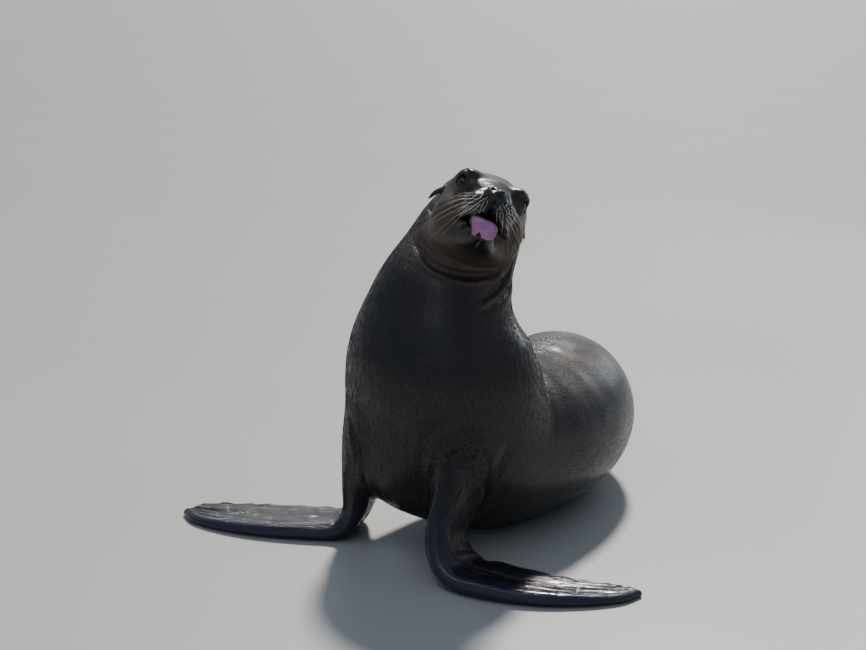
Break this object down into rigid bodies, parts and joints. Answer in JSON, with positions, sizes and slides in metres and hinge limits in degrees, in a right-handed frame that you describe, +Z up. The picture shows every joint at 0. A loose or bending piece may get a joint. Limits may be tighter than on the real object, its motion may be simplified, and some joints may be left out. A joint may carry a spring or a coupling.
{
  "type": "sea lion",
  "caption": "Young male sea lion, life size, sitting up on splayed fore flippers with its head raised and its tongue out.",
  "frame": {"origin": "on the floor under the middle of the whole animal's box", "axes": "+Z up; the head looks along -Y; the animal's right side is towards -X; the hind end curls back towards +Y"},
  "size_m": [0.9835, 1.3841, 0.7735],
  "materials": {
    "coat": "short wet fur, glossy dark brown",
    "flipper_skin": "bare wrinkled black skin, wet",
    "claw": "dark horn",
    "eye": "wet, almost black",
    "tongue": "moist, mauve pink"
  },
  "bodies": {
    "root": {"head": "coat", "lower_jaw": "coat", "ear_left": "coat", "ear_right": "coat", "neck": "coat", "chest": "coat", "abdomen": "coat", "hindquarters": "coat", "tail": "coat", "fore_flipper_left": "flipper_skin", "fore_flipper_right": "flipper_skin", "hind_flipper_left": "flipper_skin", "hind_flipper_right": "flipper_skin", "claw_left_1": "claw", "claw_left_2": "claw", "claw_left_3": "claw", "claw_right_1": "claw", "claw_right_2": "claw", "claw_right_3": "claw", "eye_left": "eye", "eye_right": "eye", "tongue": "tongue"}
  },
  "joints": []
}
